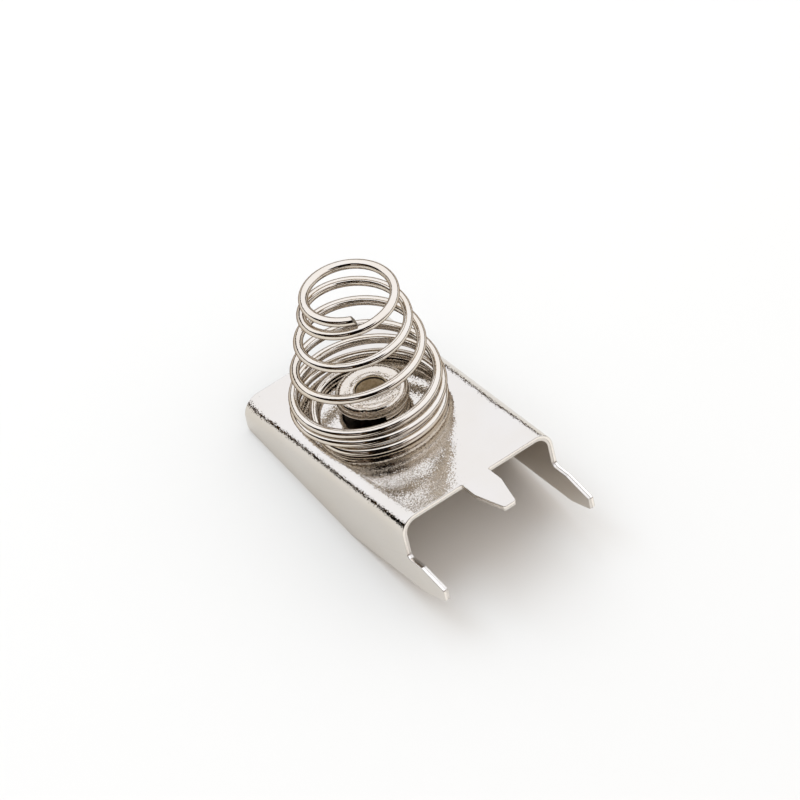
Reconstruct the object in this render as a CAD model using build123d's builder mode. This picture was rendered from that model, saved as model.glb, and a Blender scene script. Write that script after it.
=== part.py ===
from build123d import *
import math
import os

# Battery spring contact: a folded sheet terminal with three solder pins,
# a conical coil spring on its deck, and an eyelet that clamps the spring tail.
# All lengths are in millimetres.

# Sheet terminal
sheet = 0.30                 # thickness of the stamped strip
deck_width = 9.40            # over the outer faces of the two flanges
deck_length = 13.43          # rear edge to the front shoulder
bend_outer = 0.96            # outer radius of each fold
flange_rear_depth = 1.75     # deck top down to the flange edge at the rear
flange_front_depth = 3.94    # deck top down to the flange edge at the front
flange_slope_length = 8.13   # rear edge to where the slanted edge turns parallel to the deck
rear_corner = 0.35
slope_corner = 0.60
shoulder_corner = 0.25

# Solder pins
pin_width = 1.65
pin_neck = 1.15              # full width part
pin_length = 2.85            # shoulder to blunt tip of the outer pins
middle_pin_length = 2.97     # the middle pin reaches a little further
pin_tip = 0.70               # width of the blunt tip
pin_tip_corner = 0.14
middle_root_corner = 0.10

# Spring wire
wire_diameter = 0.50
wire_seat_gap = 0.01         # between the lowest turn and the deck
spring_along = 5.09          # rear edge of the deck to the spring's axis
spring_across = -0.32
spring_lean = (-0.006, 0.033)     # sideways drift of the axis for each mm of height
wire_end_angle = 345.5       # direction of the cut tail, degrees from the pins
arc_pairs_per_turn = 8

# Spring radii to the middle of the wire, from the deck up
neck_loop_gap = 0.20         # eyelet barrel to the tail that wraps it
loop_entry_radius = 2.85     # inner loop that runs in under the eyelet
loop_radius = 2.96
base_radius = 3.85           # full turn flat on the deck, at the front
base_end_radius = 3.57       # the same turn at the back, where it sits further in
second_radius = 3.80
second_end_radius = 3.75
third_radius = 3.71
cone_foot_radius = 3.65
cone_low_radius = 3.20
cone_middle_radius = 2.775
cone_high_radius = 2.385
contact_radius = 2.285       # closed turn that the cell presses on
free_end_radius = 2.245

# Spring heights to the middle of the wire, over the deck
nest_drop = 0.008            # how far the second turn settles beside the first
closed_turn_gap = 0.058      # between the second and the third turn
cone_foot_height = 1.71
cone_low_height = 3.58
cone_middle_height = 5.175
cone_high_height = 6.74
contact_height = 7.105
free_end_height = 7.27

# Eyelet
eyelet_along = 5.17          # rear edge of the deck to the eyelet's axis
eyelet_across = -0.14
eyelet_bore = 0.76           # radius of the see-through hole
eyelet_neck = 1.05           # outer radius of the barrel
eyelet_flange = 1.90         # outer radius of the upper flange
eyelet_flange_top = 1.18     # highest point of the domed flange above the deck
eyelet_crown = 1.12          # radius of that highest ring
eyelet_rim_height = 0.80     # widest point of the curled rim above the deck
eyelet_rim_inset = 0.18      # edge of the flat underside, in from the rim
eyelet_mouth = 0.36          # depth of the rounded way into the bore
eyelet_mouth_round = 0.10    # how far that way leans outwards and down
eyelet_shoulder_in = 0.16    # a place on the domed shoulder, in from the rim
eyelet_shoulder_rise = 0.22  # and up from the rim
eyelet_curl_in = 0.03        # a place on the curl under the rim, in from the rim
eyelet_curl_rise = 0.09      # and up from the flat underside
eyelet_foot = 1.50           # outer radius of the set lower side
eyelet_foot_thickness = 0.22
eyelet_foot_round = 0.08
eyelet_gap = 0.02            # over the wire and under the sheet
eyelet_hole_gap = 0.01       # barrel to the hole in the sheet

# The flange edges rest on the table along their slanted part
rest_tilt = math.atan2(flange_front_depth - flange_rear_depth, flange_slope_length)
tilt_cos = math.cos(rest_tilt)
tilt_sin = math.sin(rest_tilt)
tip_drop = flange_front_depth - pin_width / 2 + pin_tip / 2
total_reach = (deck_length + pin_length) * tilt_cos + tip_drop * tilt_sin
deck_origin = (-total_reach / 2, 0, flange_rear_depth * tilt_cos)
along = (tilt_cos, 0, tilt_sin)       # rear edge towards the pins
across = (0, 1, 0)                    # towards the right flange
upward = (-tilt_sin, 0, tilt_cos)     # out of the deck

deck_plane = Plane(origin=deck_origin, x_dir=along, z_dir=upward)
section_plane = Plane(origin=deck_origin, x_dir=across, z_dir=along)
side_plane = Plane(origin=deck_origin, x_dir=along, z_dir=(0, -1, 0))
eyelet_origin = deck_plane.from_local_coords((eyelet_along, eyelet_across, 0))
eyelet_plane = Plane(origin=eyelet_origin, x_dir=along, z_dir=(0, -1, 0))
eyelet_axis = Axis(eyelet_origin, upward)

# Side outline of one flange with its pin, as (along, height) corners
pin_bottom = -flange_front_depth
pin_top = pin_bottom + pin_width
tip_low = pin_bottom + (pin_width - pin_tip) / 2
tip_high = tip_low + pin_tip
side_outline = [
    (0, 0),
    (0, -flange_rear_depth),
    (flange_slope_length, pin_bottom),
    (deck_length + pin_neck, pin_bottom),
    (deck_length + pin_length, tip_low),
    (deck_length + pin_length, tip_high),
    (deck_length + pin_neck, pin_top),
    (deck_length, pin_top),
    (deck_length, 0),
]


def corner(points, place):
    """Vertices of a sketch that sit at the given flat position."""
    return [v for v in points if abs(v.X - place[0]) < 0.01 and abs(v.Y - place[1]) < 0.01]


with BuildPart() as terminal_plate:
    # The folded channel, as long as the pins reach
    with BuildSketch(section_plane) as channel:
        with BuildLine():
            half = deck_width / 2
            inner = half - sheet
            turn = bend_outer * (1 - math.cos(math.pi / 4))
            inner_bend = bend_outer - sheet
            inner_turn = inner_bend * (1 - math.cos(math.pi / 4))
            Line((half, -flange_front_depth), (half, -bend_outer))
            ThreePointArc((half, -bend_outer), (half - turn, -turn), (half - bend_outer, 0))
            Line((half - bend_outer, 0), (bend_outer - half, 0))
            ThreePointArc((bend_outer - half, 0), (turn - half, -turn), (-half, -bend_outer))
            Line((-half, -bend_outer), (-half, -flange_front_depth))
            Line((-half, -flange_front_depth), (-inner, -flange_front_depth))
            Line((-inner, -flange_front_depth), (-inner, -bend_outer))
            ThreePointArc(
                (-inner, -bend_outer),
                (inner_turn - inner, -sheet - inner_turn),
                (bend_outer - half, -sheet),
            )
            Line((bend_outer - half, -sheet), (half - bend_outer, -sheet))
            ThreePointArc(
                (half - bend_outer, -sheet),
                (inner - inner_turn, -sheet - inner_turn),
                (inner, -bend_outer),
            )
            Line((inner, -bend_outer), (inner, -flange_front_depth))
            Line((inner, -flange_front_depth), (half, -flange_front_depth))
        make_face()
    extrude(amount=deck_length + pin_length)
    # Keep what lies inside the side outline: deck, flanges and the two outer pins
    with BuildSketch(side_plane) as outline:
        Polygon(*side_outline, align=None)
        fillet(corner(outline.vertices(), side_outline[1]), radius=rear_corner)
        fillet(corner(outline.vertices(), side_outline[2]), radius=slope_corner)
        fillet(corner(outline.vertices(), side_outline[4]), radius=pin_tip_corner)
        fillet(corner(outline.vertices(), side_outline[5]), radius=pin_tip_corner)
        fillet(corner(outline.vertices(), side_outline[7]), radius=shoulder_corner)
    extrude(amount=deck_width, both=True, mode=Mode.INTERSECT)
    # The middle pin, level with the deck
    pin_half = pin_width / 2
    tip_half = pin_tip / 2
    middle_reach = deck_length + middle_pin_length
    with BuildSketch(deck_plane) as middle_pin:
        Polygon(
            (deck_length - sheet, -pin_half),
            (deck_length + pin_neck, -pin_half),
            (middle_reach, -tip_half),
            (middle_reach, tip_half),
            (deck_length + pin_neck, pin_half),
            (deck_length - sheet, pin_half),
            align=None,
        )
        fillet(corner(middle_pin.vertices(), (middle_reach, -tip_half)), radius=pin_tip_corner)
        fillet(corner(middle_pin.vertices(), (middle_reach, tip_half)), radius=pin_tip_corner)
    extrude(amount=-sheet)
    # Small root radii where the middle pin meets the shoulder
    roots = [
        e
        for e in terminal_plate.edges().filter_by(Axis((0, 0, 0), upward))
        if abs(deck_plane.to_local_coords(e.center()).X - deck_length) < 0.01
        and abs(abs(e.center().Y) - pin_half) < 0.01
    ]
    fillet(roots, radius=middle_root_corner)
    # Hole for the eyelet barrel
    with BuildSketch(deck_plane):
        with Locations((eyelet_along, eyelet_across)):
            Circle(eyelet_neck + eyelet_hole_gap)
    extrude(amount=-2 * sheet, mode=Mode.SUBTRACT)
terminal_plate.part.label = "terminal_plate"

# Wire stations from the cut tail up to the free end: turns, radius, height
lowest = wire_seat_gap + wire_diameter / 2
neck_loop = eyelet_neck + neck_loop_gap + wire_diameter / 2
second_height = lowest + wire_diameter - nest_drop
third_height = second_height + wire_diameter + closed_turn_gap
stations = [
    (0.00, neck_loop, lowest),       # cut tail beside the eyelet barrel
    (0.28, neck_loop, lowest),       # leaves the barrel
    (0.52, loop_entry_radius, lowest),
    (0.74, loop_radius, lowest),
    (0.92, base_radius, lowest),
    (1.40, base_end_radius, lowest),
    (1.80, second_radius, second_height),    # climbs onto the first turn
    (2.40, second_end_radius, (second_height + third_height) / 2),
    (2.90, third_radius, third_height),
    (3.20, cone_foot_radius, cone_foot_height),
    (4.10, cone_low_radius, cone_low_height),
    (5.10, cone_middle_radius, cone_middle_height),
    (6.00, cone_high_radius, cone_high_height),
    (6.35, contact_radius, contact_height),
    (6.97, free_end_radius, free_end_height),
]


def slope_at(index, column):
    """Slope of a station column against the turn count, level where the wire lies flat."""
    before = max(index - 1, 0)
    after = min(index + 1, len(stations) - 1)
    rise = stations[after][column] - stations[before][column]
    flat_before = index > 0 and stations[index][column] == stations[before][column]
    flat_after = index < len(stations) - 1 and stations[index][column] == stations[after][column]
    if flat_before or flat_after:
        return 0
    return rise / (stations[after][0] - stations[before][0])


def station_value(turns, column):
    """Smooth value between the two stations around the turn count."""
    index = 0
    while index < len(stations) - 2 and turns > stations[index + 1][0]:
        index += 1
    start = stations[index]
    end = stations[index + 1]
    span = end[0] - start[0]
    t = (turns - start[0]) / span
    value = (2 * t**3 - 3 * t**2 + 1) * start[column]
    value += (t**3 - 2 * t**2 + t) * span * slope_at(index, column)
    value += (3 * t**2 - 2 * t**3) * end[column]
    value += (t**3 - t**2) * span * slope_at(index + 1, column)
    return value


total_turns = stations[-1][0]
leave_turns = stations[1][0]
base_turns = stations[4][0]


def wire_place(turns):
    """Middle of the wire at a turn count."""
    radius = station_value(turns, 1)
    height = station_value(turns, 2)
    share = min(max((turns - leave_turns) / (base_turns - leave_turns), 0), 1)
    share = share * share * (3 - 2 * share)
    centre_along = eyelet_along + (spring_along - eyelet_along) * share
    centre_across = eyelet_across + (spring_across - eyelet_across) * share
    centre_along += spring_lean[0] * (height - lowest)
    centre_across += spring_lean[1] * (height - lowest)
    angle = math.radians(wire_end_angle) + 2 * math.pi * turns
    local = (
        centre_along + radius * math.cos(angle),
        centre_across + radius * math.sin(angle),
        height,
    )
    return deck_plane.from_local_coords(local)


def wire_direction(turns):
    """Direction of the wire at a turn count, towards the free end."""
    before = wire_place(max(turns - 0.001, 0))
    after = wire_place(min(turns + 0.001, total_turns))
    return (after - before).normalized()


with BuildPart() as coil_spring:
    # Pairs of arcs that meet smoothly follow the coils, so the wire is made of plain ring sections
    with BuildLine() as wire_path:
        pairs = math.ceil(total_turns * arc_pairs_per_turn)
        for pair in range(pairs):
            start = wire_place(total_turns * pair / pairs)
            end = wire_place(total_turns * (pair + 1) / pairs)
            leaving = wire_direction(total_turns * pair / pairs)
            arriving = wire_direction(total_turns * (pair + 1) / pairs)
            chord = end - start
            bend = leaving + arriving
            share = chord.dot(bend)
            room = 4 - bend.dot(bend)
            reach = (math.sqrt(share * share + room * chord.dot(chord)) - share) / room
            first_lead = start + leaving * reach
            last_lead = end - arriving * reach
            meeting = (first_lead + last_lead) * 0.5
            TangentArc(start, meeting, tangent=leaving)
            TangentArc(meeting, end, tangent=last_lead - first_lead)
    with BuildSketch(Plane(origin=wire_path.line @ 0, z_dir=wire_path.line % 0)):
        Circle(wire_diameter / 2)
    sweep()
coil_spring.part.label = "coil_spring"

with BuildPart() as eyelet:
    # Half section as (radius, height): barrel, lower foot, curled upper flange
    under = -sheet - eyelet_gap
    over = wire_diameter + wire_seat_gap + eyelet_gap
    foot = under - eyelet_foot_thickness
    rim_inner = eyelet_flange - eyelet_rim_inset
    mouth = eyelet_flange_top - eyelet_mouth
    with BuildSketch(eyelet_plane):
        with BuildLine():
            Line((eyelet_bore, foot), (eyelet_foot - eyelet_foot_round, foot))
            ThreePointArc(
                (eyelet_foot - eyelet_foot_round, foot),
                (eyelet_foot - 0.29 * eyelet_foot_round, foot + 0.29 * eyelet_foot_round),
                (eyelet_foot, foot + eyelet_foot_round),
            )
            Line((eyelet_foot, foot + eyelet_foot_round), (eyelet_foot, under))
            Line((eyelet_foot, under), (eyelet_neck, under))
            Line((eyelet_neck, under), (eyelet_neck, over))
            Line((eyelet_neck, over), (rim_inner, over))
            ThreePointArc(
                (rim_inner, over),
                (eyelet_flange - eyelet_curl_in, over + eyelet_curl_rise),
                (eyelet_flange, eyelet_rim_height),
            )
            Spline(
                (eyelet_flange, eyelet_rim_height),
                (eyelet_flange - eyelet_shoulder_in, eyelet_rim_height + eyelet_shoulder_rise),
                (eyelet_crown, eyelet_flange_top),
                tangents=[(0, 1), (-1, 0)],
            )
            Spline(
                (eyelet_crown, eyelet_flange_top),
                (eyelet_bore + eyelet_mouth_round, eyelet_flange_top - eyelet_mouth_round),
                (eyelet_bore, mouth),
                tangents=[(-1, 0), (0, -1)],
            )
            Line((eyelet_bore, mouth), (eyelet_bore, foot))
        make_face()
    revolve(axis=eyelet_axis, revolution_arc=360)
eyelet.part.label = "eyelet"

os.makedirs("parts", exist_ok=True)
export_step(terminal_plate.part, "parts/terminal_plate.step")
export_step(coil_spring.part, "parts/coil_spring.step")
export_step(eyelet.part, "parts/eyelet.step")

for name, piece in (("terminal plate", terminal_plate), ("coil spring", coil_spring), ("eyelet", eyelet)):
    box = piece.part.bounding_box()
    print(name, "volume", round(piece.part.volume, 3), "valid", piece.part.is_valid, "box", box.min, box.max)
print("rest tilt in degrees", round(math.degrees(rest_tilt), 3))
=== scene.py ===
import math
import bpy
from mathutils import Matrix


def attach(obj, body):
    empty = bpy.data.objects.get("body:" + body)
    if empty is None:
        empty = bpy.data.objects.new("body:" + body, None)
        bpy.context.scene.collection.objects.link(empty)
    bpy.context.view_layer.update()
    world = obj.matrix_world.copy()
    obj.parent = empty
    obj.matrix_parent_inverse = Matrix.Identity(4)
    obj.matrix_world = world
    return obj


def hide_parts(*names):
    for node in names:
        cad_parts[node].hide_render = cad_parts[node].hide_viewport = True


bl_info = {
    "name": "Battery spring contact",
    "version": (1, 0, 0),
    "blender": (4, 5, 0),
    "location": "View3D > Sidebar > Spring contact",
    "description": "Builds the folded sheet, coil spring, eyelet and stage of a battery spring contact",
    "category": "Object",
}

import bmesh
import bpy
from bpy.props import FloatProperty, FloatVectorProperty, IntProperty, PointerProperty
from mathutils import Matrix, Vector, noise

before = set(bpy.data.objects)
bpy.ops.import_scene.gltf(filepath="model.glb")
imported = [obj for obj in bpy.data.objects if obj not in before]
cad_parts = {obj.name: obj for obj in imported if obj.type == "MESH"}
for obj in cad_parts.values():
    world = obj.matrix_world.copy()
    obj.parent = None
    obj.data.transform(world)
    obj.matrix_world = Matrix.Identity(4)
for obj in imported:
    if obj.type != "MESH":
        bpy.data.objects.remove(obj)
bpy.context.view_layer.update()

MM = 0.001


def linear(code):
    """Turns an sRGB hex colour into the linear red, green and blue that a shader takes."""
    parts = [int(code[i : i + 2], 16) / 255 for i in (1, 3, 5)]
    return tuple(p / 12.92 if p <= 0.04045 else ((p + 0.055) / 1.055) ** 2.4 for p in parts)


class SheetSettings(bpy.types.PropertyGroup):
    """Sizes, grain and colour of the folded sheet"""

    thickness: FloatProperty(
        name="Sheet thickness",
        description="Thickness of the plated strip",
        default=0.30 * MM,
        unit="LENGTH",
    )
    width: FloatProperty(
        name="Deck width",
        description="Over the outer faces of the two flanges",
        default=9.40 * MM,
        unit="LENGTH",
    )
    length: FloatProperty(
        name="Deck length",
        description="Rear edge to the front shoulder",
        default=13.43 * MM,
        unit="LENGTH",
    )
    bend: FloatProperty(
        name="Bend radius", description="Outer radius of each fold", default=0.96 * MM, unit="LENGTH"
    )
    edge_round: FloatProperty(
        name="Edge round",
        description="Roll-over that the stamping leaves on the outer edge",
        default=0.035 * MM,
        unit="LENGTH",
    )
    grain: FloatProperty(
        name="Plating grain",
        description="Size of one grain in the plated surface",
        default=0.072 * MM,
        unit="LENGTH",
    )
    colour: FloatVectorProperty(
        name="Sheet colour",
        description="Colour of the plating on the sheet",
        default=linear("#D8D2CA"),
        size=3,
        subtype="COLOR",
        min=0,
        max=1,
    )


class WireSettings(bpy.types.PropertyGroup):
    """Size, fineness and colour of the spring's wire"""

    diameter: FloatProperty(
        name="Wire diameter",
        description="Thickness of the spring wire",
        default=0.50 * MM,
        unit="LENGTH",
    )
    cut_slant: FloatProperty(
        name="Cut slant",
        description="How far the cut end leans across the wire",
        default=0.12 * MM,
        unit="LENGTH",
    )
    sides: IntProperty(name="Wire sides", description="Faces around the wire", default=24, min=8, max=48)
    steps_per_turn: IntProperty(
        name="Steps per turn", description="Rings of the mesh in one turn", default=84, min=24, max=160
    )
    colour: FloatVectorProperty(
        name="Wire colour",
        description="Colour of the plating on the wire",
        default=linear("#DFD7CC"),
        size=3,
        subtype="COLOR",
        min=0,
        max=1,
    )


class EyeletSettings(bpy.types.PropertyGroup):
    """Sizes, fineness and colour of the eyelet"""

    bore: FloatProperty(
        name="Bore radius",
        description="Radius of the hole through the eyelet",
        default=0.76 * MM,
        unit="LENGTH",
    )
    flange: FloatProperty(
        name="Flange radius",
        description="Outer radius of the curled upper flange",
        default=1.90 * MM,
        unit="LENGTH",
    )
    sides: IntProperty(
        name="Eyelet sides", description="Faces around the eyelet", default=144, min=24, max=240
    )
    colour: FloatVectorProperty(
        name="Eyelet colour",
        description="Colour of the plating on the eyelet",
        default=linear("#D6CDC1"),
        size=3,
        subtype="COLOR",
        min=0,
        max=1,
    )


class StageSettings(bpy.types.PropertyGroup):
    """Floor, tent and lamp around the part"""

    floor_size: FloatProperty(
        name="Floor size", description="Width of the floor sheet", default=2.4, unit="LENGTH"
    )
    floor_colour: FloatVectorProperty(
        name="Floor colour",
        description="Colour of the paper that the part lies on",
        default=linear("#DAD2C6"),
        size=3,
        subtype="COLOR",
        min=0,
        max=1,
    )
    tent_light: FloatProperty(
        name="Tent light",
        description="Strength of the even light from the white tent",
        default=1.42,
        min=0,
        max=4,
    )
    tent_colour: FloatVectorProperty(
        name="Tent colour",
        description="Slightly cool white of the tent's cloth",
        default=linear("#F2F6FF"),
        size=3,
        subtype="COLOR",
        min=0,
        max=1,
    )
    key_power: FloatProperty(
        name="Key lamp",
        description="Power of the soft lamp at the upper left, in watts",
        default=2.45,
        min=0,
        max=50,
    )


# Sizes of the part in millimetres, as in the CAD where nothing else is said
# The sheet: depth of its flanges at the rear and at the front, end of the slanted edge, and the pins
FLANGE_REAR = 1.75
FLANGE_FRONT = 3.94
SLOPE_END = 8.13
PIN_WIDTH = 1.65
PIN_NECK = 1.15
PIN_LENGTH = 2.85
MIDDLE_PIN_LENGTH = 2.97
PIN_TIP = 0.70
# The gap between two pieces that rest on each other
PIECE_GAP = 0.01
# The spring: centre of its base, lean for each millimetre of rise, angle of its tail's end in degrees, and
# the turns from that end to where the wire runs out from under the eyelet
SPRING_CENTRE = (5.09, -0.32)
SPRING_LEAN = (-0.006, 0.033)
WIRE_END_ANGLE = 345.5
WIRE_LEAVES = 0.38
# The eyelet: its axis, the radius of its barrel, its heights over the deck and the radius of its foot; its
# rim and its lip hang lower than the CAD's, as they do in the photograph
EYELET_CENTRE = (5.17, -0.14)
EYELET_NECK = 1.05
EYELET_TOP = 1.18
EYELET_RIM = 0.64
EYELET_LIP = 0.43
EYELET_FOOT = 1.50

# Fineness of the sheet's mesh: parts of each rounded corner and of each bend, and sides of the hole
CORNER_PARTS = 6
BEND_PARTS = 16
HOLE_SIDES = 48

# Numbers of the materials of the sheet, of the wire and of the eyelet
FACE, SHEARED, BEND, TORN = range(4)
DRAWN, SNIPPED = range(2)
PLATED, BORE, PAINTED_SHADE = range(3)

# How far the plating's grains lean, as a share of the normal
FACE_LEAN = 0.185
BEND_LEAN = 0.42
EYELET_LEAN = 0.28

# The deck's own directions: the part rests on its slanted flange edges
TILT = math.atan2(FLANGE_FRONT - FLANGE_REAR, SLOPE_END)
ALONG = Vector((math.cos(TILT), 0, math.sin(TILT)))
ACROSS = Vector((0, 1, 0))
UPWARD = Vector((-math.sin(TILT), 0, math.cos(TILT)))

# The photograph's view: its lens in millimetres, the camera's place, and the directions of the picture's
# right side, of its top and of the way back to the camera
CAMERA_LENS = 668.856
CAMERA_PLACE = (0.35725639, -0.26355757, 0.59264460)
VIEW_RIGHT = Vector((0.61185508, 0.79074757, -0.01875216))
VIEW_TOP = Vector((-0.62358427, 0.49682309, 0.60358054))
VIEW_BACK = Vector((0.48659635, -0.35761027, 0.79708148))

# The stage around the part: its centre, its level directions and its distances in metres
STAGE_CENTRE = Vector((-0.002, 0, 0.004))
UP = Vector((0, 0, 1))
FLAT_BACK = Vector((VIEW_BACK.x, VIEW_BACK.y, 0)).normalized()
FLAT_RIGHT = Vector((-FLAT_BACK.y, FLAT_BACK.x, 0))
CURTAIN_DISTANCE = 0.5
BLACK_CARD_DISTANCE = 0.30
BROWN_CARD_DISTANCE = 0.31
LAMP_DISTANCE = 0.6
LAMP_SIZE = 0.5


def deck_origin(sheet):
    """Middle of the deck's rear edge, on its upper face."""
    reach = (sheet.length / MM + PIN_LENGTH) * math.cos(TILT)
    reach += (FLANGE_FRONT - PIN_WIDTH / 2 + PIN_TIP / 2) * math.sin(TILT)
    return Vector((-reach / 2, 0, FLANGE_REAR * math.cos(TILT)))


def deck_point(origin, along, across, height):
    """A place in deck coordinates, in millimetres, as a point of the scene in metres."""
    return (origin + ALONG * along + ACROSS * across + UPWARD * height) * MM


def wrapped(angle):
    """The same angle between minus half a turn and half a turn."""
    return (angle + math.pi) % (2 * math.pi) - math.pi


def add_node(tree, kind, sockets=None, **settings):
    """Adds one node, sets it up, and gives each named socket its value or its link."""
    made = tree.nodes.new(kind)
    for name, value in settings.items():
        setattr(made, name, value)
    for name, value in (sockets or {}).items():
        if isinstance(value, bpy.types.NodeSocket):
            tree.links.new(value, made.inputs[name])
        else:
            made.inputs[name].default_value = value
    return made


def fresh_material(name):
    """A node material without nodes, and its node tree."""
    material = bpy.data.materials.new(name)
    material.use_nodes = True
    material.node_tree.nodes.clear()
    return material, material.node_tree


def finish_metal(tree, sockets):
    """Ends a material with a metal surface that takes these sockets."""
    metal = add_node(tree, "ShaderNodeBsdfPrincipled", {"Metallic": 1.0, **sockets})
    add_node(tree, "ShaderNodeOutputMaterial", {"Surface": metal.outputs["BSDF"]})


def millimetre_coordinates(tree):
    """Object coordinates counted in millimetres."""
    place = add_node(tree, "ShaderNodeTexCoord").outputs["Object"]
    per_millimetre = (1 / MM, 1 / MM, 1 / MM)
    return add_node(tree, "ShaderNodeMapping", {"Vector": place, "Scale": per_millimetre}).outputs["Vector"]


def mottling(tree, place, pattern, spread, dark, pale):
    """A noise pattern, and the colour that runs through it from dark to pale.

    The pattern holds the grains to the millimetre, the detail and the roughness of the noise. The spread
    is the two values of the noise between which the colour changes.
    """
    sockets = dict(zip(("Scale", "Detail", "Roughness"), pattern))
    field = add_node(tree, "ShaderNodeTexNoise", {"Vector": place, **sockets}).outputs["Fac"]
    tint = add_node(tree, "ShaderNodeValToRGB", {"Fac": field})
    for element, position, colour in zip(tint.color_ramp.elements, spread, (dark, pale)):
        element.position = position
        element.color = (*colour, 1)
    return field, tint.outputs["Color"]


def toned(colour, red, green, blue):
    """The colour with each part multiplied, no part above white."""
    return tuple(min(part * gain, 1) for part, gain in zip(colour, (red, green, blue)))


def toothed_normal(tree, place, size, lean):
    """The surface's normal, leaning a little at random from grain to grain of the given size."""
    grain = add_node(
        tree, "ShaderNodeTexNoise", {"Vector": place, "Scale": MM / size, "Detail": 1.0, "Roughness": 0.5}
    )
    centred = add_node(
        tree, "ShaderNodeVectorMath", {0: grain.outputs["Color"], 1: (0.5, 0.5, 0.5)}, operation="SUBTRACT"
    )
    facing = add_node(tree, "ShaderNodeNewGeometry").outputs["Normal"]
    leaning = add_node(
        tree,
        "ShaderNodeVectorMath",
        {0: centred.outputs["Vector"], 1: (lean, lean, lean), 2: facing},
        operation="MULTIPLY_ADD",
    )
    unit = add_node(tree, "ShaderNodeVectorMath", {0: leaning.outputs["Vector"]}, operation="NORMALIZE")
    return unit.outputs["Vector"]


def nickel_plated_strip(settings, name, tooth_size, lean):
    """Nickel-plated cold-rolled steel strip, stamped and folded.

    The plating takes the rolled grain: a nearly clear mirror with a fine tooth, so what stands on it is
    reflected as a soft, speckled image, and it has a faint warm tint. The bends are stretched, which
    deepens the tooth there and breaks a dark reflection up into specks.
    """
    material, tree = fresh_material(name)
    place = millimetre_coordinates(tree)
    # Slow patches of a few millimetres where the plating is a little duller
    base = settings.colour
    duller = toned(base, 0.985, 0.975, 0.955)
    patches, tint = mottling(tree, place, (0.35, 3.0, 0.55), (0.35, 0.65), duller, base)
    dull = add_node(
        tree,
        "ShaderNodeMapRange",
        {"Value": patches, "From Min": 0.3, "From Max": 0.7, "To Min": 0.055, "To Max": 0.075},
    )
    # Plating grain: really finer, drawn as coarse as a pixel or two so that it shows
    tooth = toothed_normal(tree, place, tooth_size, lean)
    finish_metal(tree, {"Base Color": tint, "Roughness": dull.outputs["Result"], "Normal": tooth})
    return material


def cut_strip_edge(settings, name, gain, roughness):
    """Cut edge of the plated strip: a burnished sheared band, and a rougher torn band under it.

    The sheared band looks shinier than the faces, the torn one greyer and dull, with fine marks. Both are
    coloured paler than the plating by the gain: a painted highlight, standing in for the lamp's light,
    which the metal does not reflect.
    """
    material, tree = fresh_material(name)
    place = millimetre_coordinates(tree)
    # Cut marks about 0.08 mm apart
    # Painted highlight: the gain lifts the edge's colour above the plating's, for the lamp's light that the
    # metal does not reflect
    base = toned(settings.colour, gain, gain, gain)
    marked = toned(settings.colour, gain * 0.85, gain * 0.85, gain * 0.85)
    marks, tint = mottling(tree, place, (12.0, 3.0, 0.7), (0.3, 0.6), marked, base)
    bump = add_node(tree, "ShaderNodeBump", {"Height": marks, "Strength": 1.0, "Distance": 0.008 * MM})
    finish_metal(tree, {"Base Color": tint, "Roughness": roughness, "Normal": bump.outputs["Normal"]})
    return material


def nickel_plated_spring_wire(settings):
    """Nickel-plated music wire, drawn through a die and coiled.

    Drawing leaves it smooth, so it is close to a mirror and shows thin clean lines of reflection, with
    slight waves and small pits from coiling. A dark brown edge tint turns the reflections brownish and
    darker at a glancing angle: a painted dark rim along the wire's outline.
    """
    material, tree = fresh_material("nickel_plated_spring_wire")
    place = millimetre_coordinates(tree)
    # Slow waves of about 1.5 mm from the coiling tool
    base = settings.colour
    duller = toned(base, 0.98, 0.955, 0.915)
    waves, tint = mottling(tree, place, (0.7, 2.0, 0.5), (0.35, 0.65), duller, base)
    # Small pits about 0.12 mm across
    pits = add_node(
        tree, "ShaderNodeTexNoise", {"Vector": place, "Scale": 8.0, "Detail": 2.0, "Roughness": 0.6}
    ).outputs["Fac"]
    wavy = add_node(tree, "ShaderNodeBump", {"Height": waves, "Strength": 1.0, "Distance": 0.03 * MM})
    pitted = add_node(
        tree,
        "ShaderNodeBump",
        {"Height": pits, "Strength": 1.0, "Distance": 0.003 * MM, "Normal": wavy.outputs["Normal"]},
    )
    polish = add_node(
        tree,
        "ShaderNodeMapRange",
        {"Value": pits, "From Min": 0.3, "From Max": 0.7, "To Min": 0.045, "To Max": 0.07},
    )
    finish_metal(
        tree,
        {
            "Base Color": tint,
            "Roughness": polish.outputs["Result"],
            # Edge tint: a painted dark rim, darkening the reflections at a glancing angle
            "Specular Tint": (*linear("#6A4E30"), 1),
            "Normal": pitted.outputs["Normal"],
        },
    )
    return material


def snipped_wire_end():
    """Bare steel where the wire was snipped: dull, darker and brownish, with torn grain."""
    material, tree = fresh_material("snipped_wire_end")
    place = millimetre_coordinates(tree)
    # Torn grain about 0.1 mm across
    dark, pale = linear("#2C2117"), linear("#A8977C")
    grain, tint = mottling(tree, place, (10.0, 3.0, 0.7), (0.42, 0.62), dark, pale)
    bump = add_node(tree, "ShaderNodeBump", {"Height": grain, "Strength": 1.0, "Distance": 0.04 * MM})
    finish_metal(tree, {"Base Color": tint, "Roughness": 0.38, "Normal": bump.outputs["Normal"]})
    return material


def nickel_plated_eyelet(settings):
    """Nickel-plated brass eyelet, rolled over in a press.

    The press stretches the rim, which leaves a fine tooth on the curl and a soft mirror on the flat crown.
    """
    material, tree = fresh_material("nickel_plated_eyelet")
    place = millimetre_coordinates(tree)
    # Stretched grain about 0.1 mm across
    base = settings.colour
    duller = toned(base, 0.96, 0.93, 0.88)
    _, tint = mottling(tree, place, (10.0, 2.0, 0.6), (0.3, 0.6), duller, base)
    # The tooth is really finer, and drawn about as coarse as the strip's so that it shows
    tooth = toothed_normal(tree, place, 0.075 * MM, EYELET_LEAN)
    finish_metal(tree, {"Base Color": tint, "Roughness": 0.10, "Normal": tooth})
    return material


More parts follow.
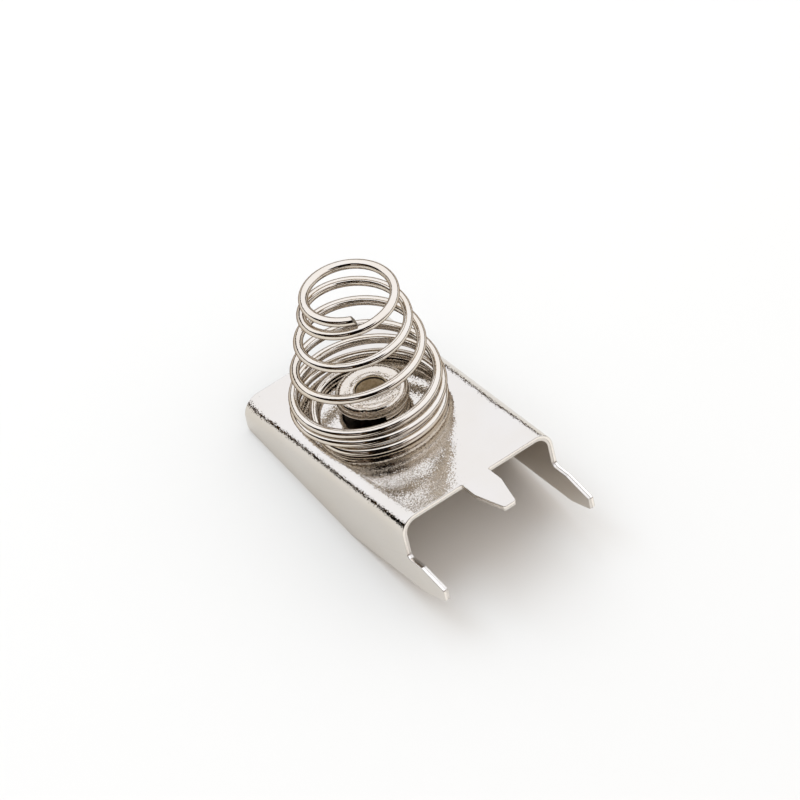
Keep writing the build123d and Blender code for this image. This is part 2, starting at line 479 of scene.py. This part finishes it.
def bare_brass(name, dark, pale):
    """Dull brass inside the eyelet, where the nickel is too thin to cover, with drawing marks from the
    punch.

    The bore takes a pale brass. A nearly black copy on the barrel, under the flange and in a ring deep in
    the bore's mouth is painted shade, standing in for the shadow in those hollows.
    """
    material, tree = fresh_material(name)
    place = millimetre_coordinates(tree)
    # Drawing marks about 0.15 mm apart
    marks, tint = mottling(tree, place, (6.5, 3.0, 0.6), (0.35, 0.65), linear(dark), linear(pale))
    bump = add_node(tree, "ShaderNodeBump", {"Height": marks, "Strength": 1.0, "Distance": 0.02 * MM})
    normal = bump.outputs["Normal"]
    finish_metal(tree, {"Base Color": tint, "Metallic": 0.35, "Roughness": 0.42, "Normal": normal})
    return material


def white_paper(settings):
    """Matt white paper, pressed from pulp: it scatters the light evenly, with hardly any mottle."""
    material, tree = fresh_material("white_paper")
    place = millimetre_coordinates(tree)
    # Clouds of fibre a little over 1 mm across
    pale = settings.floor_colour
    duller = toned(pale, 0.995, 0.995, 0.995)
    _, tint = mottling(tree, place, (0.8, 4.0, 0.6), (0.0, 1.0), duller, pale)
    paper = add_node(tree, "ShaderNodeBsdfDiffuse", {"Color": tint})
    add_node(tree, "ShaderNodeOutputMaterial", {"Surface": paper.outputs["BSDF"]})
    return material


def rounded_corner(before, place, after, radius):
    """Points of the arc that rounds one corner of an outline."""
    to_before = (before - place).normalized()
    to_after = (after - place).normalized()
    half = to_before.angle(to_after) / 2
    reach = radius / math.tan(half)
    middle = place + (to_before + to_after).normalized() * (radius / math.sin(half))
    first = place + to_before * reach - middle
    last = place + to_after * reach - middle
    sweep = first.angle_signed(last)
    points = []
    for step in range(CORNER_PARTS + 1):
        turn = Matrix.Rotation(-sweep * step / CORNER_PARTS, 2)
        points.append(middle + turn @ first)
    return points


def outline_points(corners):
    """Closed outline with its named corners rounded; each corner is (along, across, radius)."""
    points = []
    for index, (x, y, radius) in enumerate(corners):
        place = Vector((x, y))
        if radius == 0:
            points.append(place)
            continue
        before = Vector(corners[index - 1][:2])
        after = Vector(corners[(index + 1) % len(corners)][:2])
        points.extend(rounded_corner(before, place, after, radius))
    return points


def blank_outline(length, unrolled):
    """Outline of the flat blank; a flange's edge lies at its depth plus the width unrolled beside it."""
    low = FLANGE_FRONT + unrolled
    rear = FLANGE_REAR + unrolled
    pin_top = low - PIN_WIDTH
    tip_low = low - (PIN_WIDTH - PIN_TIP) / 2
    tip_high = tip_low - PIN_TIP
    neck = length + PIN_NECK
    tip = length + PIN_LENGTH
    middle_tip = length + MIDDLE_PIN_LENGTH
    right_side = [
        (0, rear, 0.35),
        (SLOPE_END, low, 0.60),
        (neck, low, 0.05),
        (tip, tip_low, 0.14),
        (tip, tip_high, 0.14),
        (neck, pin_top, 0.05),
        (length, pin_top, 0.25),
        (length, PIN_WIDTH / 2, 0.10),
        (neck, PIN_WIDTH / 2, 0.05),
        (middle_tip, PIN_TIP / 2, 0.14),
    ]
    left_side = [(x, -y, radius) for x, y, radius in reversed(right_side)]
    return outline_points(right_side + left_side)


def flat_blank(outline, hole, bend_from, bend_to):
    """The flat blank as faces that look up, cut lengthwise through the bends and just beside them."""
    flat = bmesh.new()
    for loop in (outline, hole):
        corners = [flat.verts.new((p.x, p.y, 0)) for p in loop]
        for index, corner in enumerate(corners):
            flat.edges.new((corners[index - 1], corner))
    bmesh.ops.triangle_fill(flat, use_beauty=True, use_dissolve=False, edges=flat.edges[:])
    # How far beside the bends the blank is cut too, and how near points fall together, all in millimetres
    beside, snap, weld = 0.08, 0.0005, 0.0008
    cuts = [bend_from - beside, bend_to + beside]
    cuts += [bend_from + (bend_to - bend_from) * step / BEND_PARTS for step in range(BEND_PARTS + 1)]
    for cut in cuts:
        for side in (-1, 1):
            bmesh.ops.bisect_plane(
                flat,
                geom=flat.verts[:] + flat.edges[:] + flat.faces[:],
                plane_co=(0, side * cut, 0),
                plane_no=(0, 1, 0),
                dist=snap,
            )
    bmesh.ops.remove_doubles(flat, verts=flat.verts, dist=weld)
    for face in flat.faces:
        if face.normal.z < 0:
            face.normal_flip()
    flat.verts.index_update()
    return flat


def blank_edge(flat):
    """Neighbouring points along the blank's edge, in order, and the step inward at each of its points."""
    inward = {}
    pairs = []
    for edge in flat.edges:
        if len(edge.link_faces) != 1:
            continue
        loop = edge.link_loops[0]
        start, end = loop.vert, loop.link_loop_next.vert
        run = (end.co - start.co).normalized()
        into = Vector((-run.y, run.x, 0))
        pairs.append((start.index, end.index))
        for vert in (start, end):
            inward.setdefault(vert.index, []).append(into)
    steps_in = {}
    for index, sides in inward.items():
        mean = sum(sides, Vector()).normalized()
        steps_in[index] = mean / max(mean.dot(sides[0]), 0.5)
    return pairs, steps_in


def edge_levels(thick, round_off):
    """The cut edge from the outer face to the inner one: roll-over, sheared band, torn band, burr side.

    Each level is its depth, how far it lies inward, and the finish of the band that follows it.
    """
    levels = []
    for step in range(5):
        angle = math.radians(22.5 * step)
        finish = FACE if step < 4 else SHEARED
        levels.append((round_off * (1 - math.cos(angle)), round_off * (1 - math.sin(angle)), finish))
    for share, inset in ((0.50, 0.0), (0.55, 0.020), (0.60, 0.024), (0.95, 0.010), (1, 0.018)):
        levels.append((thick * share, inset, TORN))
    return levels


def folded(across, depth, half, bend):
    """Section of the folded sheet: distance across the blank and depth under its face, to (y, z)."""
    side = 1 if across >= 0 else -1
    distance = abs(across)
    flat = half - bend
    arc = bend * math.pi / 2
    if distance <= flat:
        return side * distance, -depth
    if distance <= flat + arc:
        angle = (distance - flat) / bend
        radius = bend - depth
        return side * (flat + radius * math.sin(angle)), -bend + radius * math.cos(angle)
    return side * (half - depth), -bend - (distance - flat - arc)


def finished_mesh(name, points, faces, finishes, crease):
    """A mesh with a finish for each face, smooth but for edges sharper than the crease, in degrees."""
    mesh = bpy.data.meshes.new(name)
    mesh.from_pydata(points, [], faces)
    mesh.update()
    mesh.polygons.foreach_set("material_index", finishes)
    mesh.polygons.foreach_set("use_smooth", [True] * len(faces))
    mesh.set_sharp_from_angle(angle=math.radians(crease))
    return mesh


def build_sheet_mesh(settings):
    """The stamped blank as a flat outline, cut at the bends, given its thickness and edge, and folded."""
    half = settings.width / MM / 2
    bend = settings.bend / MM
    bend_from = half - bend
    bend_to = half - bend + bend * math.pi / 2
    outline = blank_outline(settings.length / MM, bend_to - bend)
    hole = []
    for step in range(HOLE_SIDES):
        angle = 2 * math.pi * step / HOLE_SIDES
        outward = Vector((math.cos(angle), math.sin(angle)))
        hole.append(Vector(EYELET_CENTRE) + outward * (EYELET_NECK + PIECE_GAP))
    flat = flat_blank(outline, hole, bend_from, bend_to)
    edge_pairs, steps_in = blank_edge(flat)
    levels = edge_levels(settings.thickness / MM, settings.edge_round / MM)

    origin = deck_origin(settings)
    points = []
    faces = []
    finishes = []
    plan = [Vector((v.co.x, v.co.y, 0)) for v in flat.verts]

    def place(plan_point, depth):
        across, height = folded(plan_point.y, depth, half, bend)
        return deck_point(origin, plan_point.x, across, height)

    # The outer face, then the inner one, which is turned over
    for turned_over, (depth, inset, _) in ((False, levels[0]), (True, levels[-1])):
        base = len(points)
        for index, point in enumerate(plan):
            moved = point + steps_in[index] * inset if index in steps_in else point
            points.append(place(moved, depth))
        for face in flat.faces:
            ring = [v.index + base for v in face.verts]
            faces.append(ring[::-1] if turned_over else ring)
            in_bend = bend_from < abs(face.calc_center_median().y) < bend_to
            finishes.append(BEND if in_bend else FACE)
    flat.free()
    # The edge between them, as one row of points for each level
    rows = [{index: index for index in steps_in}]
    for depth, inset, _ in levels[1:-1]:
        row = {}
        for index, step in steps_in.items():
            row[index] = len(points)
            points.append(place(plan[index] + step * inset, depth))
        rows.append(row)
    rows.append({index: index + len(plan) for index in steps_in})
    for upper, lower, (_, _, finish) in zip(rows, rows[1:], levels):
        for start, end in edge_pairs:
            faces.append([upper[end], upper[start], lower[start], lower[end]])
            finishes.append(finish)
    return finished_mesh("folded_sheet", points, faces, finishes, 32)


def wire_stations(wire_radius):
    """Turns, radius and height of the wire, from the cut tail up to the free end."""
    lowest = PIECE_GAP + wire_radius
    loop_gap = 0.20
    neck_loop = EYELET_NECK + loop_gap + wire_radius
    return [
        (0.00, neck_loop, lowest),
        (0.28, neck_loop, lowest),
        (0.52, 2.85, lowest),
        (0.74, 2.96, lowest),
        (0.92, 3.85, lowest),
        (1.40, 3.57, lowest),
        (1.80, 3.80, 0.752),
        (2.40, 3.75, 1.031),
        (2.90, 3.71, 1.31),
        (3.20, 3.65, 1.71),
        (4.10, 3.20, 3.58),
        (5.10, 2.775, 5.175),
        (6.00, 2.385, 6.74),
        (6.35, 2.285, 7.105),
        (6.97, 2.245, 7.27),
    ]


def station_slope(stations, index, column):
    """Slope of one station column, level where the wire lies flat."""
    before = max(index - 1, 0)
    after = min(index + 1, len(stations) - 1)
    here = stations[index][column]
    if index > 0 and here == stations[before][column]:
        return 0
    if index < len(stations) - 1 and here == stations[after][column]:
        return 0
    return (stations[after][column] - stations[before][column]) / (stations[after][0] - stations[before][0])


def station_value(stations, turns, column):
    """Smooth value between the two stations around the turn count."""
    index = 0
    while index < len(stations) - 2 and turns > stations[index + 1][0]:
        index += 1
    start, end = stations[index], stations[index + 1]
    span = end[0] - start[0]
    t = (turns - start[0]) / span
    value = (2 * t**3 - 3 * t**2 + 1) * start[column]
    value += (t**3 - 2 * t**2 + t) * span * station_slope(stations, index, column)
    value += (3 * t**2 - 2 * t**3) * end[column]
    value += (t**3 - t**2) * span * station_slope(stations, index + 1, column)
    return value


def wire_place(stations, turns, origin):
    """Middle of the wire at a turn count; the tail circles the eyelet and the coils their own centre."""
    radius = station_value(stations, turns, 1)
    height = station_value(stations, turns, 2)
    leave, base = stations[1][0], stations[4][0]
    share = min(max((turns - leave) / (base - leave), 0), 1)
    share = share * share * (3 - 2 * share)
    rise = height - stations[0][2]
    along = EYELET_CENTRE[0] + (SPRING_CENTRE[0] - EYELET_CENTRE[0]) * share + SPRING_LEAN[0] * rise
    across = EYELET_CENTRE[1] + (SPRING_CENTRE[1] - EYELET_CENTRE[1]) * share + SPRING_LEAN[1] * rise
    angle = math.radians(WIRE_END_ANGLE) + 2 * math.pi * turns
    return deck_point(origin, along + radius * math.cos(angle), across + radius * math.sin(angle), height)


def build_wire_mesh(settings, origin):
    """The wire as one tube of rings along its coils, cut at a slant at the free end and square below."""
    # A hair thinner than the wire, so that the finer tube stays inside the coarser CAD mesh
    hair = 0.0012 * MM
    radius = settings.diameter / 2 - hair
    stations = wire_stations(settings.diameter / MM / 2)
    total = stations[-1][0]
    count = math.ceil(total * settings.steps_per_turn)
    sides = settings.sides
    # Turns to either side between which the wire's direction is taken, rings over which the cut's slant
    # fades out, and the size and the height of the uneven ring in each cut face
    nearby = 0.002
    slanted_rings = 3
    uneven_share = 0.62
    uneven_height = 0.05 * MM
    points = []
    faces = []
    finishes = []
    for step in range(count + 1):
        turns = total * step / count
        middle = wire_place(stations, turns, origin)
        before = wire_place(stations, max(turns - nearby, 0), origin)
        after = wire_place(stations, min(turns + nearby, total), origin)
        forward = (after - before).normalized()
        top = (UPWARD - forward * UPWARD.dot(forward)).normalized()
        outer = forward.cross(top)
        slant = settings.cut_slant * max(1 - (count - step) / slanted_rings, 0)
        for side in range(sides):
            angle = 2 * math.pi * side / sides
            lift = math.sin(angle)
            spread = math.cos(angle)
            point = middle + (outer * spread + top * lift) * radius
            # The snip leaves the upper side shorter, and a slightly ragged edge
            ragged = noise.noise(Vector((spread * 2.1, lift * 2.1, 4.0))) * 0.225
            points.append(point - forward * slant * (lift + ragged + 1.1))
    for step in range(count):
        for side in range(sides):
            here = step * sides + side
            beside = step * sides + (side + 1) % sides
            faces.append([here, here + sides, beside + sides, beside])
            finishes.append(DRAWN)
    for ring, is_tail in ((0, True), (count, False)):
        # Each cut face is a rim, a smaller uneven ring and a middle point
        rim = [ring * sides + side for side in range(sides)]
        centre = sum((points[i] for i in rim), Vector()) / sides
        inner = []
        for number, index in enumerate(rim):
            inner.append(len(points))
            dent = noise.noise(Vector((number * 1.7, ring * 0.3, 1.0))) * uneven_height
            points.append(centre + (points[index] - centre) * uneven_share + UPWARD * dent)
        middle_index = len(points)
        points.append(centre)
        for side in range(sides):
            following = (side + 1) % sides
            rim_face = [rim[side], rim[following], inner[following], inner[side]]
            cap_face = [inner[side], inner[following], middle_index]
            faces.append(rim_face if is_tail else rim_face[::-1])
            faces.append(cap_face if is_tail else cap_face[::-1])
            finishes += [SNIPPED, SNIPPED]
    return finished_mesh("coil_wire", points, faces, finishes, 40)


def eyelet_section(bore, flange):
    """Section of the eyelet as (radius, height) points, from the foot up the barrel and over the flange."""
    under_sheet = -0.32
    foot = under_sheet - 0.22
    foot_round = 0.08
    over_wire = 0.53
    mouth = 1.06
    mouth_height = EYELET_TOP - 0.004
    mouth_depth = 0.34
    points = [(bore, foot + 0.03), (bore + 0.03, foot), (EYELET_FOOT - foot_round, foot)]
    for step in range(1, 5):
        angle = math.radians(22.5 * step)
        radius = EYELET_FOOT - foot_round * (1 - math.sin(angle))
        points.append((radius, foot + foot_round * (1 - math.cos(angle))))
    points += [(EYELET_FOOT, under_sheet - 0.015), (EYELET_FOOT - 0.015, under_sheet)]
    points += [(EYELET_NECK, under_sheet), (EYELET_NECK, over_wire)]
    # Flat underside, then the curl, whose lip hangs lower than the wire where no wire passes under it
    curl_inset, curl_top = 0.085, EYELET_LIP + 0.04
    for inset, height in (
        (0.36, over_wire),
        (0.25, over_wire - 0.01),
        (0.21, over_wire - 0.04),
        (0.185, EYELET_LIP + 0.03),
        (0.17, EYELET_LIP + 0.01),
        (0.14, EYELET_LIP),
        (0.11, EYELET_LIP + 0.008),
        (curl_inset, curl_top),
    ):
        points.append((flange - inset, height))
    for step in range(1, 11):
        t = step / 10
        points.append((flange - curl_inset * (1 - t) ** 2, curl_top + (EYELET_RIM - curl_top) * t))
    # Shoulder up to the crown
    shoulder_from = Vector(points[-1])
    crown = Vector((1.34, EYELET_TOP))
    handle_out = Vector((flange - 0.03, EYELET_TOP - 0.08))
    handle_in = Vector((1.62, EYELET_TOP))
    for step in range(1, 13):
        t = step / 12
        point = shoulder_from * (1 - t) ** 3 + handle_out * (3 * t * (1 - t) ** 2)
        point += handle_in * (3 * t**2 * (1 - t)) + crown * t**3
        points.append((point.x, point.y))
    points += [(1.25, EYELET_TOP), (1.14, EYELET_TOP), (mouth, mouth_height)]
    # Rounded way into the bore
    for step in range(1, 11):
        angle = math.radians(9 * step)
        radius = mouth - (mouth - bore) * math.sin(angle)
        points.append((radius, mouth_height - mouth_depth * (1 - math.cos(angle))))
    points.append((bore, 0.2))
    return points


def eyelet_finish(radius, height, bore, flange):
    """The bore is bare brass; a ring deep in its mouth, the barrel and the flange's underside take painted
    shade, a nearly black brass for the shadow in those hollows.
    """
    # Painted shade: the barrel, the flange's underside and a ring deep in the bore's mouth take the nearly
    # black brass, for the shadow that lies there
    under_flange = EYELET_NECK - 0.01 < radius < flange - 0.175 and -0.31 < height < 0.55
    if under_flange or bore + 0.015 < radius < bore + 0.07:
        return PAINTED_SHADE
    return BORE if radius < bore + 0.09 else PLATED


def build_eyelet_mesh(settings, origin):
    """The eyelet as its section turned about its axis, with the small split that the press left in it."""
    bore = settings.bore / MM
    flange = settings.flange / MM
    section = eyelet_section(bore, flange)
    sides = settings.sides
    # The split in the rim: its angle, its half-width in radians and its depth
    split_angle, split_width, split_depth = math.radians(-47), 0.045, 0.05
    # The lip's rise over the wire: its angle, its half-width in radians, its share and its heights
    wire_out = math.radians(WIRE_END_ANGLE + 360 * WIRE_LEAVES)
    lift_width, lift_share = 0.62, 0.98
    lip_top, lifted_to = 0.5, 0.56
    # The rim is a little out of round, and the barrel and the flat of the crown are not
    flat_crown = 1.3
    barrel_top = 0.2
    unevenness = 0.003
    points = []
    for side in range(sides):
        angle = 2 * math.pi * side / sides
        wave = noise.noise(Vector((math.cos(angle) * 1.3, math.sin(angle) * 1.3, 7.0)))
        # The lip rides up over the wire where the wire runs out from under it
        lift = lift_share * math.exp(-((wrapped(angle - wire_out) / lift_width) ** 4))
        split = split_depth * math.exp(-((wrapped(angle - split_angle) / split_width) ** 2))
        for radius, height in section:
            share = 0
            if height >= barrel_top:
                share = min(max((radius - flat_crown) / (flange - flat_crown), 0), 1)
            if barrel_top < height < lip_top:
                height += (lifted_to - height) * lift
            reach = radius - share * (split + unevenness * (1 + wave))
            along = EYELET_CENTRE[0] + reach * math.cos(angle)
            across = EYELET_CENTRE[1] + reach * math.sin(angle)
            points.append(deck_point(origin, along, across, height))
    faces = []
    finishes = []
    ring = len(section)
    for side in range(sides):
        here = side * ring
        beside = (side + 1) % sides * ring
        for number in range(ring):
            after = (number + 1) % ring
            faces.append([here + number, beside + number, beside + after, here + after])
            radius = (section[number][0] + section[after][0]) / 2
            height = (section[number][1] + section[after][1]) / 2
            finishes.append(eyelet_finish(radius, height, bore, flange))
    return finished_mesh("rolled_eyelet", points, faces, finishes, 40)


def add_piece(name, mesh, materials):
    """Puts a mesh into the scene with its materials, outward normals and even shading on the flats."""
    turned = bmesh.new()
    turned.from_mesh(mesh)
    bmesh.ops.recalc_face_normals(turned, faces=turned.faces)
    turned.to_mesh(mesh)
    turned.free()
    piece = bpy.data.objects.new(name, mesh)
    for material in materials:
        mesh.materials.append(material)
    bpy.context.scene.collection.objects.link(piece)
    even = piece.modifiers.new("even_shading", "WEIGHTED_NORMAL")
    even.mode = "FACE_AREA_WITH_ANGLE"
    even.weight = 80
    even.keep_sharp = True
    return piece


def stage_direction(azimuth, elevation):
    """Direction at an azimuth from the camera's side and an elevation above the floor, in degrees."""
    turn, rise = math.radians(azimuth), math.radians(elevation)
    level = FLAT_BACK * math.cos(turn) + FLAT_RIGHT * math.sin(turn)
    return level * math.cos(rise) + UP * math.sin(rise)


def add_camera(scene):
    """The photograph's camera."""
    lens = bpy.data.cameras.new("photo_camera")
    lens.sensor_width = 36
    lens.lens = CAMERA_LENS
    lens.clip_start = 0.01
    lens.clip_end = 20
    camera = bpy.data.objects.new("photo_camera", lens)
    turn = Matrix((VIEW_RIGHT, VIEW_TOP, VIEW_BACK)).transposed().to_4x4()
    camera.matrix_world = Matrix.Translation(CAMERA_PLACE) @ turn
    scene.collection.objects.link(camera)
    scene.camera = camera


def add_floor(scene, settings):
    """White paper under the part."""
    half = settings.floor_size / 2
    plane = bpy.data.meshes.new("floor")
    corners = [(-half, -half, 0), (half, -half, 0), (half, half, 0), (-half, half, 0)]
    plane.from_pydata(corners, [], [[0, 1, 2, 3]])
    plane.materials.append(white_paper(settings))
    floor = bpy.data.objects.new("floor", plane)
    scene.collection.objects.link(floor)


def add_tent(scene, settings):
    """Even light from the white tent around the part."""
    tent = bpy.data.worlds.new("white_tent")
    tent.use_nodes = True
    tree = tent.node_tree
    tree.nodes.clear()
    glow = add_node(
        tree, "ShaderNodeBackground", {"Color": (*settings.tent_colour, 1), "Strength": settings.tent_light}
    )
    add_node(tree, "ShaderNodeOutputWorld", {"Surface": glow.outputs["Background"]})
    scene.world = tent


def warm_curtain(settings):
    """Brown lit cloth, which fades into the white tent at its sides and at its top."""
    material, tree = fresh_material("warm_curtain")
    place = add_node(tree, "ShaderNodeTexCoord").outputs["Object"]
    # How far towards the camera's side and how far up it turns from white to brown, for a distance of 1
    fades = []
    for axis, white_at, brown_at in ((FLAT_BACK, 0.0, 0.7), (UP, 0.72, 0.30)):
        reach = add_node(
            tree, "ShaderNodeVectorMath", {0: place, 1: axis / CURTAIN_DISTANCE}, operation="DOT_PRODUCT"
        )
        fade = add_node(
            tree,
            "ShaderNodeMapRange",
            {"Value": reach.outputs["Value"], "From Min": white_at, "From Max": brown_at},
            interpolation_type="SMOOTHSTEP",
        )
        fades.append(fade.outputs["Result"])
    share = add_node(tree, "ShaderNodeMath", {0: fades[0], 1: fades[1]}, operation="MULTIPLY")
    mixed = add_node(
        tree,
        "ShaderNodeMix",
        {"Factor": share.outputs["Value"], "A": (*settings.tent_colour, 1), "B": (*linear("#694C2C"), 1)},
        data_type="RGBA",
    )
    glow = add_node(
        tree, "ShaderNodeEmission", {"Color": mixed.outputs["Result"], "Strength": settings.tent_light}
    )
    add_node(tree, "ShaderNodeOutputMaterial", {"Surface": glow.outputs["Emission"]})
    return material


def add_curtain(scene, settings):
    """Warm dim curtain on the camera's side."""
    columns = [
        [stage_direction(azimuth, elevation) * CURTAIN_DISTANCE for elevation in range(0, 51, 5)]
        for azimuth in range(-92, 93, 8)
    ]
    points = [point for column in columns for point in column]
    tall = len(columns[0])
    faces = [
        [i * tall + j, (i + 1) * tall + j, (i + 1) * tall + j + 1, i * tall + j + 1]
        for i in range(len(columns) - 1)
        for j in range(tall - 1)
    ]
    cloth = bpy.data.meshes.new("front_curtain")
    cloth.from_pydata(points, [], faces)
    cloth.materials.append(warm_curtain(settings))
    hung = bpy.data.objects.new("front_curtain", cloth)
    hung.visible_camera = False
    scene.collection.objects.link(hung)


def card_strips():
    """Each strip of card as its middle line, the direction across it and half its width in degrees."""
    # Upright strip behind the camera
    upright = [(stage_direction(0, elevation), FLAT_RIGHT, 13.0) for elevation in range(6, 52, 3)]
    # Slanting strip from the camera down to the left
    slanting = []
    for degrees in range(-30, 96, 4):
        turn = math.radians(degrees)
        slanting.append((VIEW_BACK * math.cos(turn) - VIEW_RIGHT * math.sin(turn), VIEW_TOP, 12.0))
    # Low strip around the table's rim, higher and wider on the camera's side
    low = []
    for azimuth in range(0, 361, 6):
        towards_camera = max(math.cos(math.radians(azimuth)), 0)
        low.append((stage_direction(azimuth, 5 + 8 * towards_camera), UP, 2.3 + 6.5 * towards_camera))
    return {"upright_card": upright, "slanting_card": slanting, "low_card": low}


def dark_card(name, code):
    """Dark paper, matt and evenly dyed, which gives off only the little light of its colour."""
    material, tree = fresh_material(name)
    surface = add_node(tree, "ShaderNodeEmission", {"Color": (*linear(code), 1), "Strength": 1.0})
    add_node(tree, "ShaderNodeOutputMaterial", {"Surface": surface.outputs["Emission"]})
    return material


def add_cards(scene):
    """Dark cards with brown edges, which the bright metal shows as thin dark lines."""
    black = dark_card("black_card", "#060504")
    brown = dark_card("brown_card", "#5F4527")
    for name, rows in card_strips().items():
        for paint, wider, distance in ((black, 0, BLACK_CARD_DISTANCE), (brown, 3.0, BROWN_CARD_DISTANCE)):
            points = []
            for direction, across, half_width in rows:
                for sign in (-1, 1):
                    reach = direction + across * sign * math.tan(math.radians(half_width + wider))
                    points.append(STAGE_CENTRE + reach * distance)
            faces = [[2 * i, 2 * i + 1, 2 * i + 3, 2 * i + 2] for i in range(len(rows) - 1)]
            strip = bpy.data.meshes.new(name)
            strip.from_pydata(points, [], faces)
            strip.materials.append(paint)
            card = bpy.data.objects.new(name + "_" + paint.name, strip)
            card.visible_camera = False
            card.visible_diffuse = name == "low_card"
            card.visible_shadow = False
            scene.collection.objects.link(card)


def add_lamp(scene, settings):
    """One soft, slightly bluish lamp at the upper left, which draws the shadow to the lower right."""
    lamp = bpy.data.lights.new("soft_lamp", "AREA")
    lamp.shape = "DISK"
    lamp.size = LAMP_SIZE
    lamp.energy = settings.key_power
    lamp.color = linear("#CAE3FF")
    key = bpy.data.objects.new("soft_lamp", lamp)
    aim = (VIEW_TOP * 0.55 - VIEW_RIGHT * 0.6 + UP).normalized()
    key.location = STAGE_CENTRE + aim * LAMP_DISTANCE
    key.rotation_mode = "QUATERNION"
    key.rotation_quaternion = aim.to_track_quat("Z", "Y")
    key.visible_glossy = False
    key.visible_camera = False
    scene.collection.objects.link(key)


class CONTACT_OT_stage(bpy.types.Operator):
    """Adds the camera, the floor, the white tent and its dark cards, and the soft lamp"""

    bl_idname = "contact.stage"
    bl_label = "Add stage"

    def execute(self, context):
        scene = context.scene
        settings = scene.contact_stage
        scene.view_settings.view_transform = "Standard"
        add_camera(scene)
        add_floor(scene, settings)
        add_tent(scene, settings)
        add_curtain(scene, settings)
        add_cards(scene)
        add_lamp(scene, settings)
        return {"FINISHED"}


class CONTACT_OT_sheet(bpy.types.Operator):
    """Builds the folded sheet terminal with its three solder pins"""

    bl_idname = "contact.sheet"
    bl_label = "Build sheet terminal"

    def execute(self, context):
        settings = context.scene.contact_sheet
        mesh = build_sheet_mesh(settings)
        face = nickel_plated_strip(settings, "nickel_plated_strip", settings.grain, FACE_LEAN)
        finer = settings.grain * 0.9
        bend = nickel_plated_strip(settings, "stretched_nickel_plated_strip", finer, BEND_LEAN)
        # Gains above 1 are a painted highlight on the cut edges
        sheared = cut_strip_edge(settings, "sheared_strip_edge", gain=1.38, roughness=0.14)
        torn = cut_strip_edge(settings, "torn_strip_edge", gain=1.14, roughness=0.34)
        piece = add_piece("folded_sheet", mesh, [face, sheared, bend, torn])
        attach(piece, "root")
        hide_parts("terminal_plate")
        return {"FINISHED"}


class CONTACT_OT_spring(bpy.types.Operator):
    """Builds the coil spring from one wire"""

    bl_idname = "contact.spring"
    bl_label = "Build coil spring"

    def execute(self, context):
        settings = context.scene.contact_wire
        mesh = build_wire_mesh(settings, deck_origin(context.scene.contact_sheet))
        piece = add_piece("coil_wire", mesh, [nickel_plated_spring_wire(settings), snipped_wire_end()])
        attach(piece, "root")
        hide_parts("coil_spring")
        return {"FINISHED"}


class CONTACT_OT_eyelet(bpy.types.Operator):
    """Builds the rolled eyelet that holds the spring's tail"""

    bl_idname = "contact.eyelet"
    bl_label = "Build eyelet"

    def execute(self, context):
        settings = context.scene.contact_eyelet
        mesh = build_eyelet_mesh(settings, deck_origin(context.scene.contact_sheet))
        bore = bare_brass("bare_brass", "#AF9874", "#DBC6A3")
        # A nearly black copy of the brass: painted shade on the barrel, under the flange and deep in the
        # bore's mouth
        painted_shade_brass = bare_brass("brass_painted_shade", "#241B12", "#3A2C1D")
        piece = add_piece("rolled_eyelet", mesh, [nickel_plated_eyelet(settings), bore, painted_shade_brass])
        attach(piece, "root")
        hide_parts("eyelet")
        return {"FINISHED"}


class CONTACT_PT_panel(bpy.types.Panel):
    """Lists the steps that build the spring contact and the sizes and colours that they use"""

    bl_idname = "CONTACT_PT_panel"
    bl_label = "Battery spring contact"
    bl_space_type = "VIEW_3D"
    bl_region_type = "UI"
    bl_category = "Spring contact"

    def draw(self, context):
        for operator, settings in (
            ("contact.stage", context.scene.contact_stage),
            ("contact.sheet", context.scene.contact_sheet),
            ("contact.spring", context.scene.contact_wire),
            ("contact.eyelet", context.scene.contact_eyelet),
        ):
            box = self.layout.box()
            box.operator(operator)
            for name in settings.__annotations__:
                box.prop(settings, name)


GROUPS = {
    "contact_sheet": SheetSettings,
    "contact_wire": WireSettings,
    "contact_eyelet": EyeletSettings,
    "contact_stage": StageSettings,
}
CLASSES = (
    SheetSettings,
    WireSettings,
    EyeletSettings,
    StageSettings,
    CONTACT_OT_stage,
    CONTACT_OT_sheet,
    CONTACT_OT_spring,
    CONTACT_OT_eyelet,
    CONTACT_PT_panel,
)


def register():
    for item in CLASSES:
        bpy.utils.register_class(item)
    for name, group in GROUPS.items():
        setattr(bpy.types.Scene, name, PointerProperty(type=group))


def unregister():
    for name in GROUPS:
        delattr(bpy.types.Scene, name)
    for item in reversed(CLASSES):
        bpy.utils.unregister_class(item)


def main():
    """Builds the stage and every piece."""
    register()
    bpy.ops.contact.stage()
    bpy.ops.contact.sheet()
    bpy.ops.contact.spring()
    bpy.ops.contact.eyelet()


if __name__ == "__main__":
    main()
